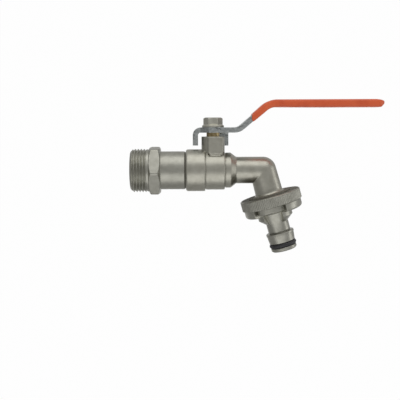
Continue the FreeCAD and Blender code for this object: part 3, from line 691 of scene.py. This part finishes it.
class Shading:
    """A node material with plain values on its main shader, and short ways to add textures to it."""

    def __init__(self, name, colour, roughness, metallic=0.0, matrix=None):
        self.material = bpy.data.materials.new(name)
        self.material.use_nodes = True
        self.tree = self.material.node_tree
        self.nodes = self.tree.nodes
        self.links = self.tree.links
        self.shader = self.nodes["Principled BSDF"]
        self.shader.inputs["Base Color"].default_value = (*colour, 1)
        self.shader.inputs["Roughness"].default_value = roughness
        self.shader.inputs["Metallic"].default_value = metallic
        self.place = self.nodes.new("ShaderNodeTexCoord").outputs["Object"]
        self.turn = (matrix or Matrix()).to_euler()

    def stretch(self, scale):
        """Coordinates in millimetres, stretched along the axes of the piece."""
        mapping = self.nodes.new("ShaderNodeMapping")
        mapping.vector_type = "TEXTURE"
        mapping.inputs["Rotation"].default_value = self.turn
        mapping.inputs["Scale"].default_value = [MM / amount for amount in scale]
        self.links.new(self.place, mapping.inputs["Vector"])
        return mapping.outputs["Vector"]

    def noise(self, scale, stretch=(1, 1, 1), detail=3.0, roughness=0.55):
        texture = self.nodes.new("ShaderNodeTexNoise")
        texture.inputs["Scale"].default_value = scale
        texture.inputs["Detail"].default_value = detail
        texture.inputs["Roughness"].default_value = roughness
        self.links.new(self.stretch(stretch), texture.inputs["Vector"])
        return texture.outputs["Fac"]

    def mottle(self, source, dark, light):
        """Base colour that moves between two tones."""
        ramp = self.nodes.new("ShaderNodeValToRGB")
        ends = ((NOISE_LOW, dark), (NOISE_HIGH, light))
        for element, (level, colour) in zip(ramp.color_ramp.elements, ends):
            element.position = level
            element.color = (*colour, 1)
        self.links.new(source, ramp.inputs["Fac"])
        self.links.new(ramp.outputs["Color"], self.shader.inputs["Base Color"])

    def gloss(self, source, low, high):
        """Roughness that moves between two values."""
        roughness = map_range(self.tree, source, NOISE_LOW, NOISE_HIGH, low, high)
        self.links.new(roughness, self.shader.inputs["Roughness"])

    def dim(self, share):
        """Scales the base colour."""
        colour = self.shader.inputs["Base Color"]
        self.links.new(scaled(self.tree, colour.links[0].from_socket, share), colour)

    def painted_corner_shade(self, darkest):
        """Painted shade: darkens the base colour in corners and grooves, where shade falls."""
        nook = self.nodes.new("ShaderNodeAmbientOcclusion")
        nook.samples = NODE_SAMPLES
        nook.inputs["Distance"].default_value = CORNER_SHADE_REACH * MM
        self.dim(map_range(self.tree, nook.outputs["AO"], NOOK_DEEP, NOOK_OPEN, darkest))

    def blotches(self, source, darkest):
        """Darkens the base colour in separate patches, where a noise is high."""
        self.dim(map_range(self.tree, source, PATCH_START, PATCH_FULL, 1.0, darkest))

    def vector_math(self, operation, source, value):
        """Node that works on a source and one set vector."""
        node = self.nodes.new("ShaderNodeVectorMath")
        node.operation = operation
        node.inputs[1].default_value = value
        self.links.new(source, node.inputs[0])
        return node

    def stain_and_painted_shade(self, place, axis, start):
        """Dull stain, darkened with painted shade, on all that lies further than a start, in millimetres,
        from a place along an axis.
        """
        offset = self.vector_math("SUBTRACT", self.place, place)
        along = self.vector_math("DOT_PRODUCT", offset.outputs["Vector"], axis)
        share = map_range(self.tree, along.outputs["Value"], (start - STAIN_AND_SHADE_FADE) * MM, start * MM)
        self.change("Base Color", "RGBA", (*STAIN_AND_SHADE_COLOUR, 1), share)
        self.change("Roughness", "FLOAT", STAIN_ROUGHNESS, share)
        self.change("Metallic", "FLOAT", STAIN_METALLIC, share)

    def change(self, name, kind, value, share):
        """Moves a value of the main shader towards another one, by a share."""
        socket = self.shader.inputs[name]
        mix = self.nodes.new("ShaderNodeMix")
        mix.data_type = kind
        first, second, result = MIX_SOCKETS[kind]
        if socket.is_linked:
            self.links.new(socket.links[0].from_socket, mix.inputs[first])
        else:
            mix.inputs[first].default_value = socket.default_value
        mix.inputs[second].default_value = value
        self.links.new(share, mix.inputs[MIX_FACTOR])
        self.links.new(mix.outputs[result], socket)

    def soften(self, radius):
        """Rounds the look of hard edges, by a radius in millimetres."""
        bevel = self.nodes.new("ShaderNodeBevel")
        bevel.samples = NODE_SAMPLES
        bevel.inputs["Radius"].default_value = radius * MM
        self.links.new(bevel.outputs["Normal"], self.shader.inputs["Normal"])

    def bump(self, source, height, strength=1.0):
        """Adds relief of a height in millimetres, on top of any that is there."""
        node = self.nodes.new("ShaderNodeBump")
        node.inputs["Distance"].default_value = height * MM
        node.inputs["Strength"].default_value = strength
        self.links.new(source, node.inputs["Height"])
        normal = self.shader.inputs["Normal"]
        if normal.is_linked:
            self.links.new(normal.links[0].from_socket, node.inputs["Normal"])
        self.links.new(node.outputs["Normal"], normal)


def nickel(name, dark, light, axis=None, corner_shade=None, softness=0.4):
    """Satin nickel plate: a turned piece has fine marks round its axis, and painted shade darkens its
    corners.
    """
    shading = Shading(name, light, 0.3, metallic=1.0, matrix=axis)
    shading.mottle(shading.noise(0.3, detail=5.0), dark, light)
    # Painted shade darkens the corners, when a share is given
    if corner_shade:
        shading.painted_corner_shade(corner_shade)
    shading.gloss(shading.noise(0.5, detail=4.0), 0.32, 0.42)
    shading.soften(softness)
    shading.bump(shading.noise(3.0), 0.004)
    if axis:
        shading.bump(shading.noise(1.0, (0.05, 0.05, 6), detail=2.0), 0.006)
    return shading


def cast_nickel():
    """Plate on the cast body, with softer edges, painted shade in its corners, and a dull stain darkened
    with painted shade on the shoulder above the adaptor.
    """
    shading = nickel("nickel_cast", (0.38, 0.37, 0.315), (0.46, 0.45, 0.39), corner_shade=0.9, softness=1.0)
    # Painted shade and a dull stain on the shoulder above the adaptor
    shading.stain_and_painted_shade(spout_matrix().translation, mount("hose_spigot")["axis"], STAIN_AND_SHADE_START)
    return shading.material


def dull_shaded_nickel():
    """Unpolished, stained plate on the ring's upper face, its dark colour also painted shade."""
    # Dark base colour: a dull stain, and painted shade on the ring's upper face
    shading = Shading("nickel_dull_painted_shade", (0.15, 0.146, 0.122), 0.6, metallic=0.4)
    shading.shader.inputs["Specular IOR Level"].default_value = 0.15
    shading.mottle(shading.noise(0.4, detail=5.0), (0.115, 0.112, 0.092), (0.185, 0.18, 0.15))
    shading.gloss(shading.noise(0.8, detail=4.0), 0.55, 0.7)
    shading.bump(shading.noise(3.0), 0.008)
    return shading.material


def zinc_steel():
    """Bright zinc plate on rolled steel, with streaks and dark patches."""
    shading = Shading("zinc_plate", (0.42, 0.45, 0.455), 0.3, metallic=1.0)
    streak = shading.noise(1.1, (0.6, 1, 1), detail=6.0, roughness=0.7)
    shading.mottle(streak, (0.265, 0.283, 0.28), (0.53, 0.552, 0.54))
    shading.blotches(shading.noise(0.5, (0.7, 1, 1), detail=4.0), 0.42)
    # Painted shade darkens the lever's corners
    shading.painted_corner_shade(0.5)
    shading.gloss(shading.noise(1.2), 0.25, 0.42)
    shading.soften(0.5)
    shading.bump(shading.noise(2.0, (0.3, 1, 1)), 0.015)
    return shading.material


def vinyl():
    """Dipped vinyl with a soft skin and faint ripples."""
    shading = Shading("orange_vinyl", (0.66, 0.105, 0.034), 0.42)
    shading.shader.inputs["Specular IOR Level"].default_value = 0.3
    shading.mottle(shading.noise(0.12), (0.62, 0.098, 0.033), (0.745, 0.138, 0.049))
    shading.gloss(shading.noise(0.6), 0.32, 0.46)
    shading.bump(shading.noise(0.25, (0.3, 1, 1)), 0.12, 0.6)
    shading.bump(shading.noise(3.5), 0.02)
    return shading.material


def bare_brass():
    """Turned brass that has dulled a little."""
    shading = Shading("bare_brass", (0.46, 0.36, 0.19), 0.4, metallic=1.0)
    shading.mottle(shading.noise(0.7, detail=5.0), (0.26, 0.195, 0.10), (0.56, 0.45, 0.25))
    shading.gloss(shading.noise(1.5), 0.36, 0.5)
    shading.bump(shading.noise(1.0, (0.02, 0.02, 6)), 0.02)
    return shading.material


def black_rubber():
    """Moulded rubber with a dull bloom."""
    shading = Shading("black_rubber", (0.02, 0.02, 0.022), 0.45)
    shading.mottle(shading.noise(0.8), (0.012, 0.012, 0.014), (0.03, 0.03, 0.033))
    shading.gloss(shading.noise(1.5), 0.35, 0.55)
    shading.bump(shading.noise(4.0), 0.01)
    return shading.material


def weathered_rubber():
    """Rubber with grey-brown dirt on it, in the joint of the body."""
    shading = Shading("weathered_rubber", (0.10, 0.095, 0.075), 0.6)
    shading.mottle(shading.noise(0.8), (0.07, 0.065, 0.05), (0.13, 0.125, 0.10))
    shading.gloss(shading.noise(1.5), 0.5, 0.7)
    shading.bump(shading.noise(4.0), 0.01)
    return shading.material


def white_plastic():
    """White low-friction plastic with a faintly uneven skin."""
    shading = Shading("white_plastic", (0.80, 0.80, 0.78), 0.4)
    shading.mottle(shading.noise(0.6), (0.76, 0.76, 0.74), (0.83, 0.83, 0.81))
    shading.gloss(shading.noise(1.0), 0.35, 0.5)
    shading.bump(shading.noise(2.5), 0.01)
    return shading.material


def chrome():
    """Polished plate on the ball."""
    shading = Shading("ball_chrome", (0.78, 0.79, 0.80), 0.08, metallic=1.0)
    shading.mottle(shading.noise(0.4), (0.74, 0.75, 0.76), (0.80, 0.81, 0.82))
    shading.gloss(shading.noise(1.0), 0.05, 0.12)
    shading.bump(shading.noise(1.0), 0.003)
    return shading.material


def dress(thing, material):
    """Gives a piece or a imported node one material."""
    thing.data.materials.clear()
    thing.data.materials.append(material)


def dress_ring_top(adaptor, material):
    """Gives the flat upper face of the knurled ring its own dark material, which paints shade there."""
    adaptor.data.materials.append(material)
    to_spout = spout_matrix().inverted()
    for face in adaptor.data.polygons:
        lowest = min((to_spout @ adaptor.data.vertices[index].co).z for index in face.vertices)
        if lowest > -(KNURL_TOP + HAIR) * MM:
            face.material_index = 1


def dress_all(inlet_end, adaptor, fillet, grip):
    """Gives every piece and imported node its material."""
    nodes = frame["nodes"]
    dark = (0.34, 0.335, 0.29)
    light = (0.42, 0.415, 0.365)
    turned = nickel("nickel_turned", dark, light, axis=inlet_matrix())
    # Painted shade darkens the corners of the adaptor and of the nut
    lugged_plate = nickel("nickel_lugged", dark, light, axis=spout_matrix(), corner_shade=0.92)
    bright = nickel("nickel_nut", (0.44, 0.43, 0.37), (0.56, 0.55, 0.48), corner_shade=0.3)
    cast = cast_nickel()
    rubber = black_rubber()
    plastic = white_plastic()
    dress(inlet_end, turned.material)
    dress(adaptor, lugged_plate.material)
    # The ring's upper face gets a dark plate whose colour paints shade there
    dress_ring_top(adaptor, dull_shaded_nickel())
    dress(nodes["spout_body"], cast)
    dress(fillet, cast)
    dress(nodes["lever"], zinc_steel())
    dress(nodes["lever_nut"], bright.material)
    dress(grip, vinyl())
    dress(nodes["stem"], bare_brass())
    dress(nodes["ball"], chrome())
    dress(nodes["body_seal"], weathered_rubber())
    for name in ("lower_stem_o_ring", "upper_stem_o_ring", "adaptor_washer", "adaptor_o_ring"):
        dress(nodes[name], rubber)
    for name in ("inlet_seat", "outlet_seat", "thrust_washer"):
        dress(nodes[name], plastic)


def make_camera():
    data = bpy.data.cameras.new("camera")
    data.angle = VIEW_ANGLE
    data.clip_start = CLIP_START
    data.clip_end = CLIP_END
    camera = add_object("camera", data)
    away = Vector((0, -math.cos(VIEW_ELEVATION), math.sin(VIEW_ELEVATION)))
    place = Matrix.Translation(VIEW_CENTRE + away * VIEW_DISTANCE)
    lift = Matrix.Rotation(math.pi / 2 - VIEW_ELEVATION, 4, "X")
    camera.matrix_world = place @ lift @ Matrix.Rotation(VIEW_ROLL, 4, "Z")
    bpy.context.scene.camera = camera


def white_stage():
    """Pale surface that is white to the camera and in reflections, and still takes a soft shadow."""
    material = bpy.data.materials.new("white_stage")
    material.use_nodes = True
    nodes = material.node_tree.nodes
    links = material.node_tree.links
    nodes.clear()
    path = nodes.new("ShaderNodeLightPath")
    seen = path.outputs["Is Camera Ray"]
    for ray in ("Is Glossy Ray", "Is Transmission Ray"):
        either = nodes.new("ShaderNodeMath")
        either.operation = "MAXIMUM"
        links.new(seen, either.inputs[0])
        links.new(path.outputs[ray], either.inputs[1])
        seen = either.outputs[0]
    share = nodes.new("ShaderNodeMath")
    share.operation = "MULTIPLY"
    share.inputs[1].default_value = STAGE_GLOW_SHARE
    links.new(seen, share.inputs[0])
    paint = nodes.new("ShaderNodeBsdfDiffuse")
    paint.inputs["Color"].default_value = STAGE_PAINT
    glow = nodes.new("ShaderNodeEmission")
    glow.inputs["Color"].default_value = STAGE_WHITE
    mix = nodes.new("ShaderNodeMixShader")
    links.new(share.outputs[0], mix.inputs["Fac"])
    links.new(paint.outputs["BSDF"], mix.inputs[1])
    links.new(glow.outputs["Emission"], mix.inputs[2])
    output = nodes.new("ShaderNodeOutputMaterial")
    links.new(mix.outputs["Shader"], output.inputs["Surface"])
    return material


def make_stage():
    """White sweep behind and below the tap, just wide enough to fill the picture."""
    profile = [(STAGE_NEAR, STAGE_FLOOR)]
    for share in steps(0, 1, STAGE_BEND_STEPS):
        angle = share * math.pi / 2
        back = STAGE_FAR - STAGE_BEND + STAGE_BEND * math.sin(angle)
        profile.append((back, STAGE_FLOOR + STAGE_BEND - STAGE_BEND * math.cos(angle)))
    profile.append((STAGE_FAR, STAGE_TOP))
    points = [(side, y, z) for y, z in profile for side in (-STAGE_HALF_WIDTH, STAGE_HALF_WIDTH)]
    faces = [(2 * i, 2 * i + 1, 2 * i + 3, 2 * i + 2) for i in range(len(profile) - 1)]
    mesh = bpy.data.meshes.new("stage")
    mesh.from_pydata(points, [], faces)
    mesh.shade_smooth()
    mesh.materials.append(white_stage())
    add_object("stage", mesh)


def make_world():
    """Even studio surroundings, a little darker at eye level and on the left."""
    world = bpy.data.worlds.new("studio")
    bpy.context.scene.world = world
    world.use_nodes = True
    tree = world.node_tree
    direction = tree.nodes.new("ShaderNodeTexCoord")
    split = tree.nodes.new("ShaderNodeSeparateXYZ")
    tree.links.new(direction.outputs["Generated"], split.inputs["Vector"])
    ramp = tree.nodes.new("ShaderNodeValToRGB")
    elements = ramp.color_ramp.elements
    for place, level in WORLD_LEVELS[1:-1]:
        elements.new(place)
    for element, (place, level) in zip(elements, WORLD_LEVELS):
        element.position = place
        element.color = (level, level, level, 1)
    tree.links.new(map_range(tree, split.outputs["Z"], -1.0, 1.0), ramp.inputs["Fac"])
    side = map_range(tree, split.outputs["X"], -1.0, LEFT_START, LEFT_SHARE, 1.0)
    colour = scaled(tree, ramp.outputs["Color"], side)
    tree.links.new(colour, tree.nodes["Background"].inputs["Color"])


def make_lights():
    for name, (place, target, width, height, watts) in LAMPS.items():
        data = bpy.data.lights.new(name, "AREA")
        data.shape = "RECTANGLE"
        data.size = width
        data.size_y = height
        data.energy = watts
        lamp = add_object(name, data)
        lamp.location = place
        lamp.rotation_euler = (Vector(target) - Vector(place)).to_track_quat("-Z", "Y").to_euler()


bpy.context.scene.view_settings.view_transform = "Standard"
dress_all(make_inlet_end(), make_hose_adaptor(), make_pad_fillet(), make_grip())
make_camera()
make_stage()
make_world()
make_lights()
